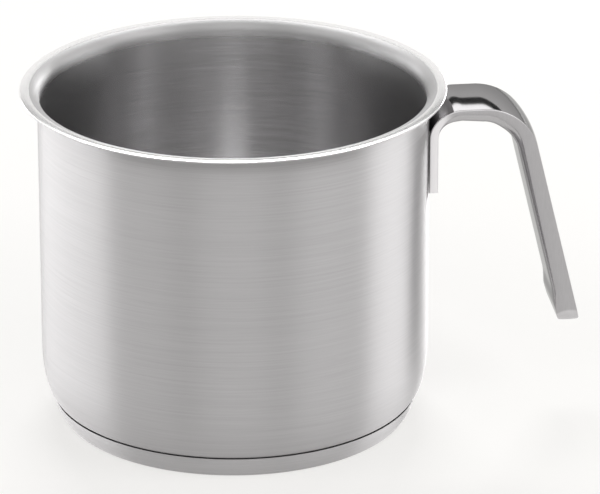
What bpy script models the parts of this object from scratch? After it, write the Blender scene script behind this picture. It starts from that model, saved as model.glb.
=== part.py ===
"""A milk pan: a drawn steel body with a flared pouring rim, a sandwich base and one strap handle.

The pan stands on Z = 0 with its axis on Z. The handle points along +X and is alike on both sides of Y = 0.
"""

import math

import bmesh
import bpy

# Body, in metres.
PAN_HEIGHT = 0.1256
WALL_RADIUS = 0.0708
SHEET = 0.0008
RIM_RADIUS = 0.0771
RIM_BEND = 0.0029
RIM_SOFTNESS = 0.00025
FLOOR_UNDERSIDE = 0.00785
CORNER_REACH = 0.00615
CORNER_RISE = 0.01873

# Base.
CAP_LIP_RADIUS = 0.0666
CAP_LIP_HEIGHT = 0.0082
CAP_LIP_SLANT = 0.00035
CAP_FOOT_RADIUS = 0.06275
CAP_FOOT_ROUND = 0.0012
CAP_BULGE = 0.00065
CAP_SHEET = 0.0005
SEAT_GAP = 0.0003

# Handle, seen from the side: its outer edge is a tab, a bend, a level crest, a shoulder and a leg.
HANDLE_WIDTH = 0.0283
TAB_FOOT = 0.0863
CREST_HEIGHT = 0.11775
CREST_RUN = 0.0076
BEND_RADIUS = 0.0110
SHOULDER_RADIUS = 0.0204
TIP_HEIGHT = 0.0325
TIP_LENGTH = 0.0159
TIP_SPREAD = 0.0065
LEG_TILT = 13.5

# Handle section: the height of its flat side, its depth at the middle and the crown of its outer face.
TAB_THICKNESS = 0.00185
BEND_SIDE = 0.0019
BEND_DEPTH = 0.0053
CREST_SIDE = 0.00235
CREST_DEPTH = 0.0060
SHOULDER_SIDE = 0.0038
SHOULDER_DEPTH = 0.0077
LEG_SIDE = 0.0052
LEG_DEPTH = 0.0069
FOOT_SIDE = 0.0062
FOOT_DEPTH = 0.0072
TIP_DEPTH = 0.0080
CROWN = 0.0007
EDGE_ROUND = 0.00035
TIP_CORNER = 0.0054
TIP_ROUND = 0.002

# The bend has its full depth at this share of its turn; each side swells by this share of its height.
BEND_FILLED_SHARE = 0.6
SIDE_SWELL_SHARE = 0.05

# A belly of fullness 2 is half an ellipse; a fuller one is flat in the middle and rounds off near its edges.
ARCH_FULLNESS = 8.0
SHOULDER_FULLNESS = 7.0
LEG_FULLNESS = 6.0

ROUND_STEPS = 72
RIM_STEPS = 6
CORNER_STEPS = 12
CAP_STEPS = 5
FILLET_STEPS = 3
BEND_STEPS = 8
CREST_STEPS = 2
SHOULDER_STEPS = 10
LEG_STEPS = 4
TIP_STEPS = 3
TIP_CORNER_STEPS = 6
FACE_STEPS = 7
SOFT_STEPS = 2
POINT_MERGE = 0.00001
SHARP_DEGREES = 35
RIM_BEVEL_DEGREES = 60

LOOKS = {
    "pan_body": ((0.62, 0.62, 0.61), 1.0, 0.32),
    "base_core": ((0.80, 0.80, 0.81), 1.0, 0.45),
    "base_cap": ((0.60, 0.60, 0.59), 1.0, 0.30),
    "handle": ((0.64, 0.64, 0.63), 1.0, 0.22),
}


def clear_scene():
    for item in list(bpy.data.objects):
        bpy.data.objects.remove(item, do_unlink=True)


def steel(name):
    colour, metallic, roughness = LOOKS[name]
    material = bpy.data.materials.new(name)
    material.use_nodes = True
    shader = material.node_tree.nodes["Principled BSDF"]
    shader.inputs["Base Color"].default_value = (*colour, 1.0)
    shader.inputs["Metallic"].default_value = metallic
    shader.inputs["Roughness"].default_value = roughness
    return material


def add_piece(collection, name, mesh):
    mesh.materials.append(steel(name))
    piece = bpy.data.objects.new(name, mesh)
    collection.objects.link(piece)
    return piece


def arc(centre, reach, rise, start, end, steps):
    """Points on an ellipse about a centre, from one angle in degrees to another, both ends included."""
    points = []
    for step in range(steps + 1):
        angle = math.radians(between(start, end, step / steps))
        points.append((centre[0] + reach * math.cos(angle), centre[1] + rise * math.sin(angle)))
    return points


def bulged(start, end, bulge, steps):
    """Points from start to end on a line that swells sideways, to its left, by the bulge at its middle."""
    length = math.dist(start, end)
    along = ((end[0] - start[0]) / length, (end[1] - start[1]) / length)
    points = []
    for step in range(steps + 1):
        share = step / steps
        out = 4 * bulge * share * (1 - share)
        points.append(
            (
                start[0] + along[0] * length * share - along[1] * out,
                start[1] + along[1] * length * share + along[0] * out,
            )
        )
    return points


def fillet(before, corner, after, radius, steps):
    """The rounding that replaces a corner between two straight lines."""
    towards = [math.atan2(point[1] - corner[1], point[0] - corner[0]) for point in (before, after)]
    turn = (towards[1] - towards[0] + math.pi) % math.tau - math.pi
    middle = towards[0] + turn / 2
    away = radius / math.sin(abs(turn) / 2)
    centre = (corner[0] + away * math.cos(middle), corner[1] + away * math.sin(middle))
    half = (math.pi - abs(turn)) / 2
    facing = middle + math.pi
    side = math.copysign(half, turn)
    return arc(centre, radius, radius, math.degrees(facing + side), math.degrees(facing - side), steps)


def between(start, end, share):
    return start + (end - start) * share


def eased(share):
    return share * share * (3 - 2 * share)


def turned(collection, name, outline):
    """A body of revolution about Z from an outline that runs down its outer side."""
    mesh = bpy.data.meshes.new(name)
    mesh.from_pydata(
        [(radius, 0, height) for radius, height in outline],
        [(index, index + 1) for index in range(len(outline) - 1)],
        [],
    )
    piece = add_piece(collection, name, mesh)
    screw = piece.modifiers.new("turn", "SCREW")
    screw.axis = "Z"
    screw.steps = ROUND_STEPS
    screw.render_steps = ROUND_STEPS
    screw.use_merge_vertices = True
    screw.merge_threshold = POINT_MERGE
    screw.use_smooth_shade = True
    return piece


def make_body(collection):
    """The outer face of the sheet, turned and then thickened inwards, with its rim edge softened."""
    lower_face = PAN_HEIGHT - SHEET
    rim_centre = (WALL_RADIUS + RIM_BEND, lower_face - RIM_BEND)
    corner_centre = (WALL_RADIUS - CORNER_REACH, FLOOR_UNDERSIDE + CORNER_RISE)
    outline = [(RIM_RADIUS, lower_face)]
    outline += arc(rim_centre, RIM_BEND, RIM_BEND, 90, 180, RIM_STEPS)
    outline += arc(corner_centre, CORNER_REACH, CORNER_RISE, 0, -90, CORNER_STEPS)
    outline.append((0, FLOOR_UNDERSIDE))
    body = turned(collection, "pan_body", outline)
    sheet = body.modifiers.new("sheet", "SOLIDIFY")
    sheet.thickness = SHEET
    sheet.offset = -1
    sheet.use_even_offset = True
    edge = body.modifiers.new("rim edge", "BEVEL")
    edge.width = RIM_SOFTNESS
    edge.segments = SOFT_STEPS
    edge.limit_method = "ANGLE"
    edge.angle_limit = math.radians(RIM_BEVEL_DEGREES)
    return body


def cap_inside():
    """The cap's inner side, from its lip down to its floor."""
    lip = (CAP_LIP_RADIUS - CAP_SHEET, CAP_LIP_HEIGHT - CAP_LIP_SLANT)
    foot = (CAP_FOOT_RADIUS - CAP_SHEET / 2, CAP_SHEET)
    return lip, foot


def make_cap(collection):
    lip, foot = cap_inside()
    outer_lip = (CAP_LIP_RADIUS, CAP_LIP_HEIGHT)
    outer_foot = (CAP_FOOT_RADIUS, 0)
    side = bulged(outer_lip, outer_foot, CAP_BULGE, CAP_STEPS)
    outline = [(0, CAP_SHEET)]
    outline += bulged(foot, lip, -CAP_BULGE, CAP_STEPS)
    outline += side[:-1]
    outline += fillet(side[-2], outer_foot, (0, 0), CAP_FOOT_ROUND, FILLET_STEPS)
    outline.append((0, 0))
    return turned(collection, "base_cap", outline)


def make_core(collection):
    """The disc fills the cap, a seat gap away from it and from the floor of the pan."""
    lip, foot = cap_inside()
    top = FLOOR_UNDERSIDE - SEAT_GAP
    upper = (lip[0] - CAP_SHEET, top)
    lower = (foot[0] - SEAT_GAP, foot[1] + SEAT_GAP)
    outline = [(0, top)]
    outline += bulged(upper, lower, CAP_BULGE, CAP_STEPS)
    outline.append((0, lower[1]))
    return turned(collection, "base_core", outline)


def handle_section(side, depth, crown, fullness, half_width, inset):
    """Points round a section as (across, inward), with the outer face first and the edges rounded.

    The inset takes the same amount off the outer and the inner face.
    """
    edge = half_width - side * SIDE_SWELL_SHARE
    flat = edge - EDGE_ROUND
    belly = depth - side
    slant = EDGE_ROUND * math.sqrt(1 / 2)
    half = []
    for step in range(FACE_STEPS):
        share = math.sin(math.pi / 2 * step / FACE_STEPS)
        half.append((flat * share, -crown * (1 - share**2)))
    half.append((flat, 0))
    half.append((flat + slant, EDGE_ROUND - slant))
    half.append((edge, EDGE_ROUND))
    half.append((half_width, side / 2))
    half.append((edge, side - EDGE_ROUND))
    half.append((flat + slant, side - EDGE_ROUND + slant))
    half.append((flat, side))
    for step in reversed(range(FACE_STEPS)):
        share = math.sin(math.pi / 2 * step / FACE_STEPS)
        half.append((flat * share, side + belly * math.sqrt(1 - share**fullness)))
    middle = (depth - crown) / 2
    kept = 1 - 2 * inset / (depth + crown)
    half = [(across, middle + (inward - middle) * kept) for across, inward in half]
    return half + [(-across, inward) for across, inward in reversed(half[1:-1])]


def blended(first, second, share):
    return [between(a, b, share) for a, b in zip(first, second)]


def handle_stations():
    """Each station along the handle: a point of its outer edge, the way inward, and its section."""
    tab = [TAB_THICKNESS, TAB_THICKNESS, 0, ARCH_FULLNESS]
    bend = [BEND_SIDE, BEND_DEPTH, CROWN, ARCH_FULLNESS]
    crest = [CREST_SIDE, CREST_DEPTH, CROWN, ARCH_FULLNESS]
    shoulder = [SHOULDER_SIDE, SHOULDER_DEPTH, CROWN, SHOULDER_FULLNESS]
    leg = [LEG_SIDE, LEG_DEPTH, CROWN, LEG_FULLNESS]
    foot = [FOOT_SIDE, FOOT_DEPTH, CROWN, LEG_FULLNESS]
    tip = [TIP_DEPTH, TIP_DEPTH, CROWN, LEG_FULLNESS]
    half_width = HANDLE_WIDTH / 2
    tab_back = WALL_RADIUS + SEAT_GAP
    bend_centre = (tab_back + BEND_RADIUS, CREST_HEIGHT - BEND_RADIUS)
    shoulder_centre = (bend_centre[0] + CREST_RUN, CREST_HEIGHT - SHOULDER_RADIUS)
    tilt = math.radians(LEG_TILT)
    down = (math.sin(tilt), -math.cos(tilt))
    stations = [((tab_back, TAB_FOOT), (1, 0), handle_section(*tab, half_width, 0))]
    for step in range(BEND_STEPS + 1):
        share = step / BEND_STEPS
        angle = math.radians(between(180, 90, share))
        out = (math.cos(angle), math.sin(angle))
        point = (bend_centre[0] + BEND_RADIUS * out[0], bend_centre[1] + BEND_RADIUS * out[1])
        sizes = blended(tab, bend, eased(min(1, share / BEND_FILLED_SHARE)))
        stations.append((point, (-out[0], -out[1]), handle_section(*sizes, half_width, 0)))
    for step in range(1, CREST_STEPS):
        share = step / CREST_STEPS
        point = (bend_centre[0] + CREST_RUN * share, CREST_HEIGHT)
        stations.append((point, (0, -1), handle_section(*blended(bend, crest, share), half_width, 0)))
    for step in range(SHOULDER_STEPS + 1):
        share = step / SHOULDER_STEPS
        angle = math.radians(between(90, LEG_TILT, share))
        out = (math.cos(angle), math.sin(angle))
        point = (
            shoulder_centre[0] + SHOULDER_RADIUS * out[0],
            shoulder_centre[1] + SHOULDER_RADIUS * out[1],
        )
        if step * 2 < SHOULDER_STEPS:
            sizes = blended(crest, shoulder, eased(2 * share))
        else:
            sizes = blended(shoulder, leg, eased(2 * share - 1))
        stations.append((point, (-out[0], -out[1]), handle_section(*sizes, half_width, 0)))
    top = stations[-1][0]
    inward = stations[-1][1]
    length = (top[1] - TIP_HEIGHT) / math.cos(tilt)
    leg_length = length - TIP_LENGTH
    for step in range(1, LEG_STEPS + 1):
        share = step / LEG_STEPS
        point = (top[0] + down[0] * leg_length * share, top[1] + down[1] * leg_length * share)
        stations.append((point, inward, handle_section(*blended(leg, foot, share), half_width, 0)))
    left_over = [TIP_LENGTH - TIP_SPREAD * step / TIP_STEPS for step in range(1, TIP_STEPS + 1)]
    for step in range(TIP_CORNER_STEPS + 1):
        left_over.append(TIP_CORNER * (1 - math.sin(math.pi / 2 * step / TIP_CORNER_STEPS)))
    for left in left_over:
        done = TIP_LENGTH - left
        point = (top[0] + down[0] * (length - left), top[1] + down[1] * (length - left))
        level = math.radians(between(LEG_TILT, 0, done / TIP_LENGTH))
        narrow = corner_inset(TIP_CORNER, left)
        sizes = blended(foot, tip, eased(min(1, done / TIP_SPREAD)))
        section = handle_section(*sizes, half_width - narrow, corner_inset(TIP_ROUND, left))
        stations.append((point, (-math.cos(level), -math.sin(level)), section))
    return stations


def corner_inset(radius, left):
    """How far a rounded corner has drawn in where that much is left before its end."""
    if left >= radius:
        return 0
    return radius - math.sqrt(radius**2 - (radius - left) ** 2)


def make_handle(collection):
    """A loft through the stations, closed by a flat face at the tab's foot and at the tip."""
    mesh = bpy.data.meshes.new("handle")
    shape = bmesh.new()
    rings = []
    for point, inward, section in handle_stations():
        rings.append(
            [
                shape.verts.new((point[0] + inward[0] * depth, across, point[1] + inward[1] * depth))
                for across, depth in section
            ]
        )
    for first, second in zip(rings, rings[1:]):
        for index in range(len(first)):
            after = (index + 1) % len(first)
            shape.faces.new((first[index], first[after], second[after], second[index]))
    shape.faces.new(rings[0])
    shape.faces.new(rings[-1])
    bmesh.ops.recalc_face_normals(shape, faces=shape.faces)
    shape.to_mesh(mesh)
    shape.free()
    mesh.shade_smooth()
    mesh.set_sharp_from_angle(angle=math.radians(SHARP_DEGREES))
    return add_piece(collection, "handle", mesh)


def main():
    clear_scene()
    collection = bpy.data.collections.new("milk_pan")
    bpy.context.scene.collection.children.link(collection)
    make_body(collection)
    make_core(collection)
    make_cap(collection)
    make_handle(collection)


main()
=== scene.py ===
"""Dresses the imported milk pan.

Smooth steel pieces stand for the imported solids, with their finishes, in a plain studio.
"""

import math
from typing import NamedTuple

import bmesh
import bpy
from bpy.props import FloatProperty, FloatVectorProperty, IntProperty, PointerProperty
from mathutils import Matrix, Vector


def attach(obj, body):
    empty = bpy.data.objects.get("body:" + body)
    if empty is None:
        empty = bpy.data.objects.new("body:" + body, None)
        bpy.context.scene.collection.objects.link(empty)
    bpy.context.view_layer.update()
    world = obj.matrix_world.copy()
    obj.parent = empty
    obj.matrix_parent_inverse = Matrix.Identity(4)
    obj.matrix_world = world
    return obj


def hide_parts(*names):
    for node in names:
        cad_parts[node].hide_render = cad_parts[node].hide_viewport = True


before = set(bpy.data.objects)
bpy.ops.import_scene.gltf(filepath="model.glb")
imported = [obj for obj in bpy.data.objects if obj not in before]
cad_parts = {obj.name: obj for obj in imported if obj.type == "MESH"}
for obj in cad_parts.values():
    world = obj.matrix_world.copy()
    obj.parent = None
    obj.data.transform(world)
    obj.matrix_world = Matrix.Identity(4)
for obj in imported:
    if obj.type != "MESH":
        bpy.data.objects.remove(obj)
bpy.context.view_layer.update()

bl_info = {
    "name": "Milk pan",
    "version": (1, 0, 0),
    "blender": (4, 5, 0),
    "location": "3D View > Sidebar > Milk pan",
    "description": "Makes the finished pieces of a steel milk pan over its packed solids",
    "category": "Object",
}


# Sizes and colours


def length(name, description, default):
    return FloatProperty(
        name=name, description=description, default=default, unit="LENGTH", precision=5
    )


def colour(name, description, default):
    return FloatVectorProperty(
        name=name, description=description, default=default, size=3, min=0, max=1, subtype="COLOR"
    )


def number(name, description, default):
    return FloatProperty(name=name, description=description, default=default)


def angle(name, description, degrees):
    return FloatProperty(
        name=name, description=description, default=math.radians(degrees), subtype="ANGLE"
    )


def share(name, description, default):
    return FloatProperty(
        name=name, description=description, default=default, min=0, max=1, subtype="FACTOR"
    )


class BodySizes(bpy.types.PropertyGroup):
    """The drawn body and its flared rim."""

    height: length("Height", "Height of the rim above the table", 0.1256)
    wall_radius: length("Wall radius", "Outer radius of the straight wall", 0.0708)
    sheet: length("Sheet", "Thickness of the steel", 0.0008)
    rim_radius: length("Rim radius", "Outer radius of the flared rim", 0.0771)
    rim_bend: length("Rim bend", "Radius of the bend under the rim", 0.0029)
    rim_softness: length("Rim softness", "Rounding of the rim's cut edge", 0.00032)
    floor_underside: length("Floor underside", "Height of the floor's lower face", 0.00785)
    corner_reach: length("Corner reach", "How far the lower corner curves inwards", 0.00615)
    corner_rise: length("Corner rise", "How far the lower corner curves upwards", 0.01873)
    round_steps: IntProperty(
        name="Round steps", description="Faces round the pan", default=192, min=24
    )


class BaseSizes(bpy.types.PropertyGroup):
    """The pressed cap under the heat-spreading disc."""

    lip_radius: length("Lip radius", "Outer radius of the cap's upper lip", 0.0666)
    lip_height: length("Lip height", "Height of the cap's upper lip", 0.00805)
    lip_slant: length("Lip slant", "How much lower the inner edge of the lip is", 0.00035)
    foot_radius: length("Foot radius", "Radius of the flat foot", 0.06275)
    foot_round: length("Foot rounding", "Rounding between the foot and the side", 0.0012)
    bulge: length("Bulge", "How far the side swells out", 0.00065)
    sheet: length("Sheet", "Thickness of the cap", 0.0005)


class HandleSizes(bpy.types.PropertyGroup):
    """The forged handle: a tab, a bend, a crest, a shoulder and a leg."""

    width: length("Width", "Width of the bar", 0.0283)
    seat_gap: length("Seat gap", "Gap between the tab and the wall", 0.0003)
    tab_foot: length("Tab foot", "Height of the tab's lower end", 0.0863)
    crest_height: length("Crest height", "Height of the crest's edge", 0.11775)
    crest_run: length("Crest run", "Length of the level crest", 0.0076)
    bend_radius: length("Bend radius", "Radius where the tab turns into the crest", 0.0110)
    shoulder_radius: length("Shoulder radius", "Radius where the crest turns into the leg", 0.0204)
    tip_height: length("Tip height", "Height of the lower end", 0.0325)
    tip_length: length("Tip length", "Length over which the end turns level", 0.0159)
    tip_spread: length("Tip spread", "Length over which the flat sides widen", 0.0100)
    leg_tilt: angle("Leg tilt", "How far the leg leans out", 13.5)
    tab_thickness: length("Tab thickness", "Thickness of the tab", 0.00185)
    bend_side: length("Bend side", "Flat side after the bend", 0.0019)
    bend_depth: length("Bend depth", "Depth at the middle after the bend", 0.0053)
    crest_side: length("Crest side", "Flat side after the crest", 0.00235)
    crest_depth: length("Crest depth", "Depth at the middle after the crest", 0.0060)
    shoulder_side: length("Shoulder side", "Flat side halfway round the shoulder", 0.0038)
    shoulder_depth: length("Shoulder depth", "Depth halfway round the shoulder", 0.0071)
    leg_side: length("Leg side", "Flat side at the top of the leg", 0.0052)
    leg_depth: length("Leg depth", "Depth at the top of the leg", 0.0069)
    foot_side: length("Foot side", "Flat side at the foot of the leg", 0.0062)
    foot_depth: length("Foot depth", "Depth at the foot of the leg", 0.0070)
    tip_depth: length("Tip depth", "Depth of the tip, flat from face to face", 0.0078)
    crown: length("Crown", "How far the outer face is crowned", 0.0007)
    edge_round: length("Edge rounding", "Rounding of the long edges", 0.00035)
    tip_corner: length("Tip corner", "Corner radius of the tip", 0.0054)
    tip_round: length("Tip rounding", "Rounding of the tip's lower edges", 0.002)
    bend_filled: share("Bend filled", "Share of the bend after which it has its full depth", 0.9)
    side_swell: share("Side swell", "How far a side swells, as a share of its height", 0.05)
    arch_fullness: number("Arch fullness", "How full the underside of the arch is", 8.0)
    shoulder_fullness: number(
        "Shoulder fullness", "How full the underside of the shoulder is", 7.0
    )
    leg_fullness: number("Leg fullness", "How full the inner face of the leg is", 11.0)


class Finishes(bpy.types.PropertyGroup):
    """Colours and roughness of the steel."""

    wall: colour("Wall", "Brushed steel outside", (0.412, 0.405, 0.410))
    inside: colour("Inside", "Brushed steel inside", (0.58, 0.575, 0.58))
    rim: colour("Rim", "Bright steel of the rim", (0.90, 0.895, 0.90))
    cap: colour("Cap", "Turned steel of the base", (0.425, 0.418, 0.423))
    polished: colour("Polished", "Polished steel of the handle", (0.462, 0.455, 0.462))
    satin: colour("Satin", "Satin flanks of the handle", (0.422, 0.414, 0.422))
    # The disc's dark aluminium is painted shade: it shows only in the groove between the body and
    # the cap, standing in for the groove's shade.
    core: colour("Core", "Aluminium of the hidden disc", (0.30, 0.30, 0.31))
    wall_roughness: share("Wall roughness", "Roughness of the brushed wall", 0.5)
    inside_roughness: share("Inside roughness", "Roughness of the brushed inside", 0.25)
    rim_roughness: share("Rim roughness", "Roughness of the bright rim", 0.16)
    polished_roughness: share("Polished roughness", "Roughness of the polished faces", 0.07)
    satin_roughness: share("Satin roughness", "Roughness of the satin flanks", 0.36)
    wall_spread: share("Wall spread", "How far brushing stretches the highlights outside", 0.9)
    inside_spread: share("Inside spread", "How far brushing stretches the highlights inside", 0.8)
    wall_grain: share("Wall grain", "How far the brushed grain varies the tone outside", 0.36)
    inside_grain: share("Inside grain", "How far the brushed grain varies the tone inside", 0.60)
    rim_grain: share("Rim grain", "How far the bright rim varies in tone", 0.06)
    flank_grain: share("Flank grain", "How far the ground flanks vary in tone", 0.20)


class StageSettings(bpy.types.PropertyGroup):
    """The floor, the light and the camera."""

    floor: colour("Floor", "Colour of the floor", (0.947, 0.939, 0.923))
    evenness: share("Evenness", "How far the floor's white is its own and not its lighting", 0.6)
    world_strength: share("World strength", "How strongly the world lights the pan", 0.18)
    camera_distance: length("Camera distance", "Level distance from the pan's axis", 1.7484)
    camera_height: length("Camera height", "Height above the table", 0.7643)
    lens: number("Lens", "Focal length on a 36 mm sensor", 309.46)
    handle_turn: angle(
        "Handle turn", "How far the handle points away from the picture plane", 6.0
    )
    yaw: angle("Yaw", "Turn of the camera", 0.787)
    pitch: angle("Pitch", "Camera's tilt down", 21.855)
    roll: angle("Roll", "Camera's roll", -0.073)


# Shader maths


class Signal:
    """A shader socket that can stand in a sum, which then adds its Math nodes."""

    def __init__(self, recipe, socket):
        self.recipe = recipe
        self.socket = socket

    def math(self, operation, *others):
        values = dict(enumerate([self, *others]))
        return self.recipe.node("ShaderNodeMath", {"operation": operation}, values)

    def swapped(self, operation, other):
        return self.recipe.node("ShaderNodeMath", {"operation": operation}, {0: other, 1: self})

    def __add__(self, other):
        return self.math("ADD", other)

    def __sub__(self, other):
        return self.math("SUBTRACT", other)

    def __mul__(self, other):
        return self.math("MULTIPLY", other)

    def __pow__(self, other):
        return self.math("POWER", other)

    def __radd__(self, other):
        return self.swapped("ADD", other)

    def __rsub__(self, other):
        return self.swapped("SUBTRACT", other)

    def __rmul__(self, other):
        return self.swapped("MULTIPLY", other)

    def __rpow__(self, other):
        return self.swapped("POWER", other)

    def ramp(self, low, high):
        """0 below low, 1 above high and smooth between them."""
        settings = {"interpolation_type": "SMOOTHSTEP"}
        inputs = {"Value": self, "From Min": low, "From Max": high, "To Min": 0.0, "To Max": 1.0}
        return self.recipe.node("ShaderNodeMapRange", settings, inputs)


class Recipe:
    """A material or world under construction."""

    def __init__(self, block):
        self.block = block
        block.use_nodes = True
        self.tree = block.node_tree
        self.shader = self.tree.nodes.get("Principled BSDF")

    def feed(self, socket, value):
        if isinstance(value, Signal):
            self.tree.links.new(value.socket, socket)
        elif socket.type == "RGBA" and len(value) == 3:
            socket.default_value = (*value, 1.0)
        else:
            socket.default_value = value

    def node(self, kind, settings=None, inputs=None, output=0):
        """A node with its settings made first, then the values or links of its sockets."""
        node = self.tree.nodes.new(kind)
        for name, value in (settings or {}).items():
            setattr(node, name, value)
        for name, value in (inputs or {}).items():
            self.feed(node.inputs[name], value)
        return Signal(self, node.outputs[output])

    def place(self):
        """Where on the piece: x, y and z in metres."""
        spot = self.node("ShaderNodeTexCoord", output="Object")
        apart = self.node("ShaderNodeSeparateXYZ", inputs={0: spot}).socket.node
        return [Signal(self, output) for output in apart.outputs]

    def at(self, x, y, z):
        return self.node("ShaderNodeCombineXYZ", inputs={0: x, 1: y, 2: z})

    def noise(self, place, scale, detail=2.0, roughness=0.5):
        inputs = {"Vector": self.at(*place), "Scale": scale}
        inputs.update({"Detail": detail, "Roughness": roughness})
        return self.node("ShaderNodeTexNoise", inputs=inputs)

    def marks(self, place, often, detail=2.0, roughness=0.6):
        """Noise that changes as often as given along each of the three directions, per metre."""
        stretched = [part * each for part, each in zip(place, often)]
        return self.noise(stretched, 1.0, detail, roughness)

    def mixed(self, factor, first, second):
        """A colour between two colours."""
        inputs = {"Factor": factor, 6: first, 7: second}
        return self.node("ShaderNodeMix", {"data_type": "RGBA"}, inputs, output=2)

    def tinted(self, base, amount):
        """A colour made lighter or darker by an amount around 1."""
        grey = self.node("ShaderNodeCombineColor", inputs={0: amount, 1: amount, 2: amount})
        settings = {"data_type": "RGBA", "blend_type": "MULTIPLY", "clamp_result": True}
        return self.node("ShaderNodeMix", settings, {"Factor": 1.0, 6: base, 7: grey}, output=2)

    def bump(self, height, strength):
        inputs = {"Height": height, "Strength": strength, "Distance": MARK_DEPTH}
        return self.node("ShaderNodeBump", inputs=inputs)

    def looked_at(self):
        """1 where the surface itself is seen, straight, mirrored or through glass, and 0 where it
        lights something."""
        camera, glossy, transmission = (
            self.node("ShaderNodeLightPath", output=f"Is {kind} Ray")
            for kind in ("Camera", "Glossy", "Transmission")
        )
        return camera.math("MAXIMUM", glossy).math("MAXIMUM", transmission)

    def cover(self, shader, factor):
        """Mixes another shader over the main one."""
        main = Signal(self, self.shader.outputs[0])
        both = self.node("ShaderNodeMixShader", inputs={0: factor, 1: main, 2: shader})
        self.feed(self.tree.nodes["Material Output"].inputs["Surface"], both)

    def finish(self, **inputs):
        for name, value in inputs.items():
            self.feed(self.shader.inputs[name.replace("_", " ")], value)
        return self.block


# Marks of the finishing tools: how often each changes per metre, few times along a mark and often
# across it. Round the pan the third direction runs across the wall and the floor alike.
LONG_STREAKS = (20.0, 20.0, 1800.0)
FINE_STREAKS = (70.0, 70.0, 4200.0)
WIPE_MARKS = (900.0, 60.0, 900.0)
GRINDING_MARKS = (3000.0, 3000.0, 240.0)
MARK_DEPTH = 0.00003  # metres, of the bump
ROUND_THE_PAN = 0.25  # turn of the anisotropic highlight, as a share of a full turn

# Brushed steel
LONG_SHARE = 0.6  # of the long streaks in the brushing, the rest being the fine ones
BRUSHED_CLOUDS = 0.03  # how far soft clouds vary the tone and the roughness
BRUSHED_ROUGHNESS = 0.06  # how far the fine streaks vary the roughness
BRUSHED_BUMP = 0.2  # strength of the bump, as a share of the grain
BEND_SHADE = 0.6  # painted shade: tone of the bend inside the rim, as a share of the inside's
BEND_DULLNESS = 0.25  # how much rougher the bend is
BEND_DEPTHS = (0.0064, 0.0024)  # metres below the rim where the bend's painted shade starts and is full
TAB_SHADE_TONE = (0.09, 0.09, 0.09)  # painted shade on the wall right beside the handle's tab
TAB_SHADE_REACH = 0.0075  # metres from the tab's edge over which the painted shade beside it fades

# Polished and satin steel
EDGE_TINT = (0.42, 0.42, 0.42, 1.0)  # of the polished faces at a glancing angle
POLISHED_HAZE = 0.03  # how far haze and wipe marks vary the tone and the roughness
SATIN_CLOUDS = 0.05  # how far soft clouds vary the tone
SATIN_ROUGHNESS = 0.12  # how far the grinding marks vary the roughness
SATIN_BUMP = 0.3  # strength of the bump, as a share of the grain
TAB_END = (0.0738, 0.0790)  # x in metres, over which the painted highlight on the tab's flanks ends
TAB_PAINTED_HIGHLIGHT = 0.9  # painted highlight: how much lighter the tab's flanks are, as a share
TIP_MIDDLE = 0.122  # x in metres, of the arched line where the tip's rounded corner begins
TIP_ARCH = 75.0  # how strongly that line is arched, per metre
TIP_LEVELS = (0.0374, 0.0384)  # z in metres, over which the painted highlight on the corner ends
CORNER_PAINTED_HIGHLIGHT = 0.35  # painted highlight: how much lighter the corner is, as a share


def brushed_round(name, base, roughness, grain, spread, bend=None, rim_height=None, beside=None):
    """Steel brushed round the pan's axis: fine streaks that run round walls and floors alike.

    bend is the tone of a painted shade in the bend under a rim of that height. beside is the half
    width of the handle's tab and the heights of its foot and top, beside which the wall has a
    painted shade.
    """
    recipe = Recipe(bpy.data.materials.new(name))
    x, y, z = recipe.place()
    radius = (x * x + y * y) ** 0.5
    across = radius + z
    long_streaks = recipe.marks((x, y, across), LONG_STREAKS, detail=3.0)
    fine_streaks = recipe.marks((x, y, across), FINE_STREAKS)
    clouds = (recipe.noise((x, y, z), scale=22.0) - 0.5) * BRUSHED_CLOUDS
    streaks = long_streaks * LONG_SHARE + fine_streaks * (1.0 - LONG_SHARE)
    colour_out = recipe.tinted(base, 1.0 + (streaks - 0.5) * grain + clouds)
    rough = roughness + (fine_streaks - 0.5) * BRUSHED_ROUGHNESS + clouds
    # Painted shade: the bend under the rim gets a darker tone, and is also rougher.
    if bend:
        turned = z.ramp(*(rim_height - depth for depth in BEND_DEPTHS))
        colour_out = recipe.mixed(turned, colour_out, bend)
        rough = rough + turned * BEND_DULLNESS
    if beside:
        # Painted shade: the wall is darkened beside the handle's tab, from its foot to its top,
        # standing in for the tab's contact shadow.
        half_tab, foot, top = beside
        near = 1.0 - (y.math("ABSOLUTE") - half_tab).ramp(0.0, TAB_SHADE_REACH)
        above = z.ramp(foot - TAB_SHADE_REACH / 2, foot + TAB_SHADE_REACH)
        level = above * (1.0 - z.ramp(top, top + TAB_SHADE_REACH))
        handle_side = x.ramp(0.0, 0.001)
        colour_out = recipe.mixed(near * level * handle_side, colour_out, TAB_SHADE_TONE)
    normal = recipe.bump(streaks, BRUSHED_BUMP * grain)
    recipe.shader.inputs["Metallic"].default_value = 1.0
    recipe.shader.inputs["Anisotropic"].default_value = spread
    recipe.shader.inputs["Anisotropic Rotation"].default_value = ROUND_THE_PAN
    return recipe.finish(Base_Color=colour_out, Roughness=rough, Normal=normal)


def polished_steel(name, base, roughness):
    """Bright steel with the faint unevenness and haze that polishing leaves."""
    recipe = Recipe(bpy.data.materials.new(name))
    x, y, z = recipe.place()
    haze = (recipe.noise((x, y, z), scale=160.0, detail=3.0, roughness=0.6) - 0.5) * POLISHED_HAZE
    wear = (recipe.marks((x, y, z), WIPE_MARKS, roughness=0.5) - 0.5) * POLISHED_HAZE
    rough = roughness + haze + wear
    colour_out = recipe.tinted(base, 1.0 + haze)
    recipe.shader.inputs["Metallic"].default_value = 1.0
    recipe.shader.inputs["Specular Tint"].default_value = EDGE_TINT
    return recipe.finish(Base_Color=colour_out, Roughness=rough)


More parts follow.
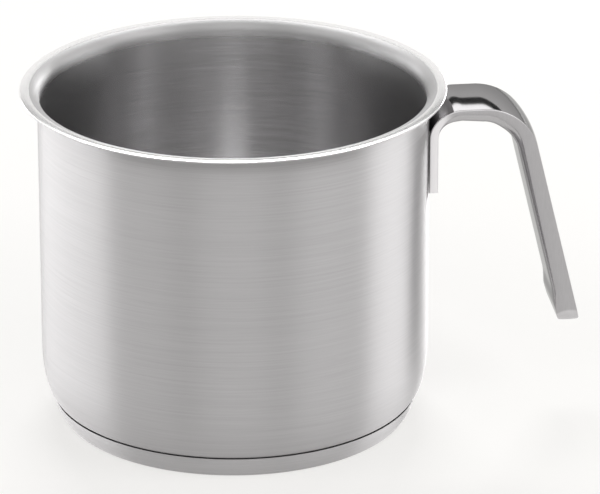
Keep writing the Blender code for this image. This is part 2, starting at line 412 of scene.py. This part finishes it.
def satin_steel(name, base, roughness, grain):
    """Steel ground along the bar in streaks along its length; the tab and the tip's corner have
    painted highlights.
    """
    recipe = Recipe(bpy.data.materials.new(name))
    x, y, z = recipe.place()
    streaks = recipe.marks((x, y, z), GRINDING_MARKS)
    clouds = recipe.noise((x, y, z), scale=120.0)
    tab = 1.0 - x.ramp(*TAB_END)
    off_middle = x - TIP_MIDDLE
    corner = 1.0 - (z + off_middle * off_middle * TIP_ARCH).ramp(*TIP_LEVELS)
    tone = 1.0 + (streaks - 0.5) * grain + (clouds - 0.5) * SATIN_CLOUDS
    # Painted highlights: the tab's flanks and the tip's rounded corner are made lighter.
    tone = tone + tab * TAB_PAINTED_HIGHLIGHT + corner * CORNER_PAINTED_HIGHLIGHT
    rough = roughness + (streaks - 0.5) * SATIN_ROUGHNESS
    recipe.shader.inputs["Metallic"].default_value = 1.0
    normal = recipe.bump(streaks, SATIN_BUMP * grain)
    return recipe.finish(Base_Color=recipe.tinted(base, tone), Roughness=rough, Normal=normal)


# Modelling helpers


def between(start, end, part):
    return start + (end - start) * part


def eased(part):
    return part * part * (3 - 2 * part)


def arc(centre, reach, rise, start, end, steps):
    """Points on an ellipse, from one angle in degrees to another, both ends included."""
    points = []
    for step in range(steps + 1):
        turned = math.radians(between(start, end, step / steps))
        points.append((centre[0] + reach * math.cos(turned), centre[1] + rise * math.sin(turned)))
    return points


def bulged(start, end, bulge, steps):
    """Points from start to end on a line that swells to its left by the bulge at its middle."""
    whole = math.dist(start, end)
    along = ((end[0] - start[0]) / whole, (end[1] - start[1]) / whole)
    points = []
    for step in range(steps + 1):
        part = step / steps
        out = 4 * bulge * part * (1 - part)
        points.append(
            (
                start[0] + along[0] * whole * part - along[1] * out,
                start[1] + along[1] * whole * part + along[0] * out,
            )
        )
    return points


def start_fresh():
    """Leaves edit mode and deselects all, so that an operator acts on the new piece alone."""
    if bpy.context.mode != "OBJECT":
        bpy.ops.object.mode_set(mode="OBJECT")
    bpy.ops.object.select_all(action="DESELECT")


def raise_rings(name, outline, round_steps, closed):
    """A turned piece: a disc whose edge is extruded from ring to ring through the outline."""
    start_fresh()
    radius, height = outline[0]
    bpy.ops.mesh.primitive_circle_add(
        vertices=round_steps, radius=radius, fill_type="NGON", location=(0, 0, height)
    )
    piece = bpy.context.object
    piece.name = name
    piece.data.name = name
    bpy.ops.object.transform_apply(location=True, rotation=True, scale=True)
    bpy.ops.object.mode_set(mode="EDIT")
    bpy.ops.mesh.select_mode(type="EDGE")
    bpy.ops.mesh.select_all(action="SELECT")
    bpy.ops.mesh.region_to_loop()
    for next_radius, next_height in outline[1:]:
        rise = next_height - height
        bpy.ops.mesh.extrude_region_move(TRANSFORM_OT_translate={"value": (0, 0, rise)})
        grow = next_radius / radius
        bpy.ops.transform.resize(value=(grow, grow, 1), center_override=(0, 0, next_height))
        radius, height = next_radius, next_height
    if closed:
        bpy.ops.mesh.edge_face_add()
    bpy.ops.mesh.select_all(action="SELECT")
    bpy.ops.mesh.normals_make_consistent(inside=False)
    bpy.ops.object.mode_set(mode="OBJECT")
    lowest = min(piece.data.polygons, key=lambda face: face.center.z)
    if lowest.normal.z > 0:
        bpy.ops.object.mode_set(mode="EDIT")
        bpy.ops.mesh.select_all(action="SELECT")
        bpy.ops.mesh.flip_normals()
        bpy.ops.object.mode_set(mode="OBJECT")
    return piece


def apply_all(piece):
    for modifier in list(piece.modifiers):
        bpy.ops.object.modifier_apply(modifier=modifier.name)


def smooth(piece, degrees):
    start_fresh()
    piece.select_set(True)
    bpy.context.view_layer.objects.active = piece
    bpy.ops.object.shade_smooth_by_angle(angle=math.radians(degrees))


# Pieces


class MILKPAN_OT_body(bpy.types.Operator):
    """Make the drawn body with its rim, and give it its brushed steel"""

    bl_idname = "milk_pan.body"
    bl_label = "Body"

    def execute(self, context):
        size = context.scene.milk_pan_body
        handle = context.scene.milk_pan_handle
        looks = context.scene.milk_pan_finishes
        lower_face = size.height - size.sheet
        rim_centre = (size.wall_radius + size.rim_bend, lower_face - size.rim_bend)
        corner_centre = (
            size.wall_radius - size.corner_reach,
            size.floor_underside + size.corner_rise,
        )
        outline = arc(corner_centre, size.corner_reach, size.corner_rise, -90, 0, 28)
        wall_steps = 8
        for step in range(1, wall_steps):
            level = between(corner_centre[1], rim_centre[1], step / wall_steps)
            outline.append((size.wall_radius, level))
        outline += arc(rim_centre, size.rim_bend, size.rim_bend, 180, 90, 12)
        outline.append((size.rim_radius, lower_face))
        body = raise_rings("body_shell", outline, size.round_steps, closed=False)
        tab_top = handle.crest_height - handle.bend_radius
        wall = brushed_round(
            "wall_steel",
            looks.wall,
            looks.wall_roughness,
            looks.wall_grain,
            looks.wall_spread,
            # the wall beside the handle's tab gets a painted shade
            beside=(handle.width / 2, handle.tab_foot, tab_top),
        )
        inside = brushed_round(
            "inside_steel",
            looks.inside,
            looks.inside_roughness,
            looks.inside_grain,
            looks.inside_spread,
            # the bend under the rim gets a painted shade
            bend=tuple(part * BEND_SHADE for part in looks.inside),
            rim_height=size.height,
        )
        rim = brushed_round("rim_steel", looks.rim, looks.rim_roughness, looks.rim_grain, 0.0)
        for finish in (wall, inside, rim):
            body.data.materials.append(finish)
        wall_slot, inside_slot, rim_slot = range(3)
        sheet = body.modifiers.new("sheet", "SOLIDIFY")
        sheet.thickness = size.sheet
        sheet.offset = -1
        sheet.use_even_offset = True
        sheet.material_offset = inside_slot
        sheet.material_offset_rim = inside_slot
        edge = body.modifiers.new("rim edge", "BEVEL")
        edge.width = size.rim_softness
        edge.segments = 3
        edge.limit_method = "ANGLE"
        edge.angle_limit = math.radians(60)
        apply_all(body)
        upward = 0.4
        for face in body.data.polygons:
            if math.hypot(face.center.x, face.center.y) > rim_centre[0]:
                face.material_index = rim_slot if face.normal.z > upward else wall_slot
        smooth(body, 40)
        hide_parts("pan_body")
        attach(body, "root")
        return {"FINISHED"}


class MILKPAN_OT_base(bpy.types.Operator):
    """Make the pressed cap of the base, and give the disc inside it its aluminium, darkened as
    painted shade for the groove between the body and the cap
    """

    bl_idname = "milk_pan.base"
    bl_label = "Base"

    def execute(self, context):
        size = context.scene.milk_pan_base
        looks = context.scene.milk_pan_finishes
        outer_lip = (size.lip_radius, size.lip_height)
        inner_lip = (size.lip_radius - size.sheet, size.lip_height - size.lip_slant)
        inner_foot = (size.foot_radius - size.sheet / 2, size.sheet)
        side = bulged((size.foot_radius, 0), outer_lip, -size.bulge, 16)
        back = size.foot_round / 2
        outline = [(size.foot_radius - back, 0), (size.foot_radius - back / 4, back / 12)]
        outline += side[1:]
        outline += bulged(inner_lip, inner_foot, size.bulge, 12)
        round_steps = context.scene.milk_pan_body.round_steps
        cap = raise_rings("cap_shell", outline, round_steps, closed=True)
        turned = brushed_round(
            "cap_steel", looks.cap, looks.wall_roughness, looks.wall_grain, looks.wall_spread
        )
        cap.data.materials.append(turned)
        smooth(cap, 38)
        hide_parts("base_cap")
        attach(cap, "root")
        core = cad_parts["base_core"]
        core.data.materials.clear()
        # The disc's aluminium is darkened as painted shade for the groove between the body and the
        # cap.
        groove_shade_aluminium = brushed_round("core_aluminium", looks.core, looks.wall_roughness, 0.3, 0.0)
        core.data.materials.append(groove_shade_aluminium)
        return {"FINISHED"}


class Section(NamedTuple):
    """Sizes of the bar's section at one place, which change along the bar."""

    side: float  # height of its flat side
    depth: float  # depth at the middle, from the outer edges
    crown: float  # how far the outer face is crowned
    fullness: float  # how full the inner face is, from edge to edge
    roundness: float  # how round the inner face meets the side
    wrap: float  # how far the outer face's edges bend back round the wall


ELLIPTIC, BETWEEN, SLOPING = 0.5, 0.7, 1  # roundness, from the steepest meeting to the flattest


def section_points(section, half_width, inset, rounding, swell, face_steps):
    """Points round a section as (across, inward), outer face first, and where the side begins and
    ends among them."""
    side, depth, crown, fullness, roundness, wrap = section
    edge = half_width - side * swell
    flat = edge - rounding
    belly = depth - side
    half = []
    for step in range(face_steps):
        part = math.sin(math.pi / 2 * step / face_steps)
        half.append((flat * part, -crown * (1 - part**2) - wrap * part**2))
    side_start = len(half)
    half += arc((flat, rounding - wrap), rounding, rounding, -90, 0, 3)
    half += bulged((edge, rounding - wrap), (edge, side - rounding), -side * swell, 6)[1:-1]
    half += arc((flat, side - rounding), rounding, rounding, 0, 90, 3)
    side_end = len(half) - 1
    for step in reversed(range(face_steps)):
        part = math.sin(math.pi / 2 * step / face_steps)
        half.append((flat * part, side + belly * (1 - part**fullness) ** roundness))
    middle = (depth - crown) / 2
    kept = 1 - 2 * inset / (depth + crown)
    half = [(across, middle + (inward - middle) * kept) for across, inward in half]
    points = half + [(-across, inward) for across, inward in reversed(half[1:-1])]
    return points, side_start, side_end


def off(start, reach, facing):
    """The point at a distance from another, at an angle in the handle's plane."""
    return start[0] + reach * math.cos(facing), start[1] + reach * math.sin(facing)


def corner_inset(radius, left):
    """How far a rounded corner has drawn in where that much is left before its end."""
    if left >= radius:
        return 0
    return radius - math.sqrt(radius**2 - (radius - left) ** 2)


def handle_stations(size, wall_radius):
    """Each station along the bar: a point of its outer edge, the way inward, its section, its half
    width and its inset."""
    half_width = size.width / 2
    back = wall_radius + size.seat_gap
    wrap = back - math.sqrt(back**2 - half_width**2)
    arched = (size.arch_fullness, ELLIPTIC)
    turning = (size.shoulder_fullness, BETWEEN)
    straight = (size.leg_fullness, SLOPING)
    tab = Section(size.tab_thickness, size.tab_thickness, 0, *arched, wrap)
    bend = Section(size.bend_side, size.bend_depth, size.crown, *arched, 0)
    crest = Section(size.crest_side, size.crest_depth, size.crown, *arched, 0)
    shoulder = Section(size.shoulder_side, size.shoulder_depth, size.crown, *turning, 0)
    leg = Section(size.leg_side, size.leg_depth, size.crown, *straight, 0)
    foot = Section(size.foot_side, size.foot_depth, size.crown, *straight, 0)
    tip = Section(size.tip_depth, size.tip_depth, size.crown, *straight, 0)
    bend_centre = (back + size.bend_radius, size.crest_height - size.bend_radius)
    crest_end = bend_centre[0] + size.crest_run
    shoulder_centre = (crest_end, size.crest_height - size.shoulder_radius)
    tilt = size.leg_tilt
    down = tilt - math.pi / 2
    stations = []

    def add(point, facing, first, second, part, narrow=0, inset=0):
        section = Section(*(between(a, b, part) for a, b in zip(first, second)))
        inward = (-math.cos(facing), -math.sin(facing))
        stations.append((point, inward, section, half_width - narrow, inset))

    tab_steps = 6
    for step in range(tab_steps):
        level = between(size.tab_foot, bend_centre[1], step / tab_steps)
        add((back, level), math.pi, tab, tab, 0)
    bend_steps = 28
    for step in range(bend_steps + 1):
        part = step / bend_steps
        facing = between(math.pi, math.pi / 2, part)
        point = off(bend_centre, size.bend_radius, facing)
        add(point, facing, tab, bend, eased(min(1, part / size.bend_filled)))
    crest_steps = 6
    for step in range(1, crest_steps):
        part = step / crest_steps
        point = (bend_centre[0] + size.crest_run * part, size.crest_height)
        add(point, math.pi / 2, bend, crest, part)
    shoulder_steps = 32
    for step in range(shoulder_steps + 1):
        part = step / shoulder_steps
        facing = between(math.pi / 2, tilt, part)
        point = off(shoulder_centre, size.shoulder_radius, facing)
        if part < 0.5:
            add(point, facing, crest, shoulder, eased(2 * part))
        else:
            add(point, facing, shoulder, leg, eased(2 * part - 1))
    top = stations[-1][0]
    whole = (top[1] - size.tip_height) / math.cos(tilt)
    leg_length = whole - size.tip_length
    leg_steps = 16
    for step in range(1, leg_steps + 1):
        part = step / leg_steps
        add(off(top, leg_length * part, down), tilt, leg, foot, part)
    spread_steps = 10
    left_over = [
        size.tip_length - size.tip_spread * step / spread_steps
        for step in range(1, spread_steps + 1)
    ]
    corner_steps = 16
    left_over += [
        size.tip_corner * (1 - math.sin(math.pi / 2 * step / corner_steps))
        for step in range(corner_steps + 1)
    ]
    for left in left_over:
        done = size.tip_length - left
        point = off(top, whole - left, down)
        narrow = corner_inset(size.tip_corner, left)
        inset = corner_inset(size.tip_round, left)
        facing = between(tilt, 0, done / size.tip_length)
        add(point, facing, foot, tip, eased(min(1, done / size.tip_spread)), narrow, inset)
    return stations


class MILKPAN_OT_handle(bpy.types.Operator):
    """Make the forged handle, polished on its faces and satin on its flanks and tip

    Its section changes all along from tab to tip, in thickness, crown, fullness and corners. An
    extruded or bevelled primitive can't follow that, so the rings of its sections are placed and
    joined in code.
    """

    bl_idname = "milk_pan.handle"
    bl_label = "Handle"

    def execute(self, context):
        size = context.scene.milk_pan_handle
        looks = context.scene.milk_pan_finishes
        face_steps = 14
        polished_slot, satin_slot = range(2)
        shape = bmesh.new()
        rings = []
        stations = handle_stations(size, context.scene.milk_pan_body.wall_radius)
        for point, inward, section, half_width, inset in stations:
            points, side_start, side_end = section_points(
                section, half_width, inset, size.edge_round, size.side_swell, face_steps
            )
            ring = []
            for across, deep in points:
                x, z = point[0] + inward[0] * deep, point[1] + inward[1] * deep
                ring.append(shape.verts.new((x, across, z)))
            rings.append(ring)
        count = len(rings[0])
        for first, second in zip(rings, rings[1:]):
            for index in range(count):
                after = (index + 1) % count
                corners = (first[index], first[after], second[after], second[index])
                place = min(index, count - 1 - index)
                on_side = side_start <= place < side_end
                shape.faces.new(corners).material_index = satin_slot if on_side else polished_slot
        for end in (rings[0], rings[-1]):
            shape.faces.new(end).material_index = satin_slot
        bmesh.ops.recalc_face_normals(shape, faces=shape.faces)
        mesh = bpy.data.meshes.new("handle_bar")
        shape.to_mesh(mesh)
        shape.free()
        bar = bpy.data.objects.new("handle_bar", mesh)
        context.scene.collection.objects.link(bar)
        polished = polished_steel("polished_steel", looks.polished, looks.polished_roughness)
        satin = satin_steel("satin_steel", looks.satin, looks.satin_roughness, looks.flank_grain)
        for finish in (polished, satin):
            mesh.materials.append(finish)
        smooth(bar, 50)
        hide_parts("handle")
        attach(bar, "root")
        return {"FINISHED"}


# Stage

AIM = Vector((0, 0, 0.06))  # where the lamps and the card point
STAND_OFF = 1.5  # metres from the pan's axis to the lamps and the card

# Each lamp's name, width, height, strength, degrees from the camera's side towards the right, and
# height above the table. The strong ones light the wall and the rim and are kept off the handle.
STRONG_LAMPS = (
    ("left strip", 2.1, 0.32, 8.2, -109, 0.20),
    ("right strip", 1.05, 0.32, 9.0, 100, 0.20),
    ("right edge strip", 0.6, 0.32, 12.0, 150, 0.20),
    ("high back box", 1.0, 0.48, 14.0, 182, 1.62),
)
SOFT_LAMPS = (
    ("high right box", 1.3, 0.8, 3.6, 60, 1.25),
    ("high left box", 1.3, 0.8, 2.2, -60, 1.25),
    ("high front box", 1.3, 0.8, 2.8, 0, 1.25),
    ("back strip", 1.1, 0.16, 1.4, 180, 1.02),
)
# The black card's width, height, degrees and height above the table
BLACK_CARD = (1.2, 0.155, 180, 0.815)


def put_round(thing, degrees, level, turn):
    """Stands a lamp or card round the pan, facing it."""
    azimuth = math.radians(degrees) - turn
    place = Vector((math.sin(azimuth) * STAND_OFF, -math.cos(azimuth) * STAND_OFF, level))
    thing.location = place
    thing.rotation_euler = (AIM - place).to_track_quat("-Z", "Y").to_euler()


def soft_box(name, width, height, strength, degrees, level, turn):
    """A soft lamp whose strength is its brightness, whatever its size."""
    light = bpy.data.lights.new(name, "AREA")
    light.shape = "RECTANGLE"
    light.size = width
    light.size_y = height
    light.energy = strength * width * height * math.pi
    lamp = bpy.data.objects.new(name, light)
    bpy.context.scene.collection.objects.link(lamp)
    put_round(lamp, degrees, level, turn)
    lamp.visible_camera = False
    return lamp


def spare(lamp, piece):
    """Keeps a strong lamp off one piece, whose polished faces would mirror it as a white patch."""
    spared = bpy.data.collections.new(f"{lamp.name} spares")
    spared.objects.link(piece)
    spared.collection_objects[0].light_linking.link_state = "EXCLUDE"
    lamp.light_linking.receiver_collection = spared


def black_card(width, height, degrees, level, turn):
    """A narrow card behind the pan, seen only in reflections, for the dark line on the crest."""
    start_fresh()
    bpy.ops.mesh.primitive_plane_add(size=1)
    card = bpy.context.object
    card.name = "dark strip"
    card.scale = (width, height, 1)
    put_round(card, degrees, level, turn)
    card.visible_camera = False
    card.visible_diffuse = False
    card.visible_shadow = False
    recipe = Recipe(bpy.data.materials.new("black_card"))
    card.data.materials.append(recipe.finish(Base_Color=(0.02, 0.02, 0.02), Roughness=0.9))


class MILKPAN_OT_stage(bpy.types.Operator):
    """Set up the floor, the light and the camera"""

    bl_idname = "milk_pan.stage"
    bl_label = "Stage"

    def execute(self, context):
        scene = context.scene
        settings = scene.milk_pan_stage
        self.floor(settings)
        self.light(scene, settings)
        self.camera(scene, settings)
        scene.view_settings.view_transform = "Standard"
        return {"FINISHED"}

    def floor(self, settings):
        start_fresh()
        bpy.ops.mesh.primitive_plane_add(size=24, location=(0, 0, 0))
        floor = bpy.context.object
        floor.name = "floor"
        recipe = Recipe(bpy.data.materials.new("floor_paper"))
        paper = recipe.finish(Base_Color=settings.floor, Roughness=0.9)
        own = recipe.node("ShaderNodeEmission", inputs={"Color": settings.floor, "Strength": 1.0})
        recipe.cover(own, recipe.looked_at() * settings.evenness)
        floor.data.materials.append(paper)

    def light(self, scene, settings):
        scene.world = bpy.data.worlds.new("studio")
        recipe = Recipe(scene.world)
        strength = recipe.node(
            "ShaderNodeMapRange",
            inputs={
                "Value": recipe.looked_at(),
                "To Min": settings.world_strength,
                "To Max": 1.0,
            },
        )
        background = recipe.tree.nodes["Background"]
        recipe.feed(background.inputs["Color"], settings.floor)
        recipe.feed(background.inputs["Strength"], strength)
        turn = settings.handle_turn
        strong = [soft_box(*lamp, turn) for lamp in STRONG_LAMPS]
        for lamp in strong:
            spare(lamp, bpy.data.objects["handle_bar"])
        for lamp in SOFT_LAMPS:
            soft_box(*lamp, turn)
        black_card(*BLACK_CARD, turn)

    def camera(self, scene, settings):
        data = bpy.data.cameras.new("camera")
        data.lens = settings.lens
        data.sensor_width = 36
        data.sensor_fit = "HORIZONTAL"
        data.clip_end = 100
        camera = bpy.data.objects.new("camera", data)
        scene.collection.objects.link(camera)
        spot = Vector((0, -settings.camera_distance, settings.camera_height))
        turned = Matrix.Rotation(-settings.handle_turn, 4, "Z")
        aim = (
            Matrix.Rotation(-settings.yaw, 4, "Z")
            @ Matrix.Rotation(math.pi / 2 - settings.pitch, 4, "X")
            @ Matrix.Rotation(settings.roll, 4, "Z")
        )
        camera.matrix_world = turned @ Matrix.Translation(spot) @ aim
        scene.camera = camera


class MILKPAN_PT_panel(bpy.types.Panel):
    """Lists the operators in the sidebar"""

    bl_label = "Milk pan"
    bl_idname = "MILKPAN_PT_panel"
    bl_space_type = "VIEW_3D"
    bl_region_type = "UI"
    bl_category = "Milk pan"

    def draw(self, context):
        for piece in ("body", "base", "handle", "stage"):
            self.layout.operator(f"milk_pan.{piece}")


CLASSES = (
    BodySizes,
    BaseSizes,
    HandleSizes,
    Finishes,
    StageSettings,
    MILKPAN_OT_body,
    MILKPAN_OT_base,
    MILKPAN_OT_handle,
    MILKPAN_OT_stage,
    MILKPAN_PT_panel,
)


def register():
    for cls in CLASSES:
        bpy.utils.register_class(cls)
    bpy.types.Scene.milk_pan_body = PointerProperty(type=BodySizes)
    bpy.types.Scene.milk_pan_base = PointerProperty(type=BaseSizes)
    bpy.types.Scene.milk_pan_handle = PointerProperty(type=HandleSizes)
    bpy.types.Scene.milk_pan_finishes = PointerProperty(type=Finishes)
    bpy.types.Scene.milk_pan_stage = PointerProperty(type=StageSettings)


def unregister():
    for name in ("body", "base", "handle", "finishes", "stage"):
        delattr(bpy.types.Scene, f"milk_pan_{name}")
    for cls in reversed(CLASSES):
        bpy.utils.unregister_class(cls)


def main():
    register()
    bpy.ops.milk_pan.body()
    bpy.ops.milk_pan.base()
    bpy.ops.milk_pan.handle()
    bpy.ops.milk_pan.stage()
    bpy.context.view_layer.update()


if __name__ == "__main__":
    main()
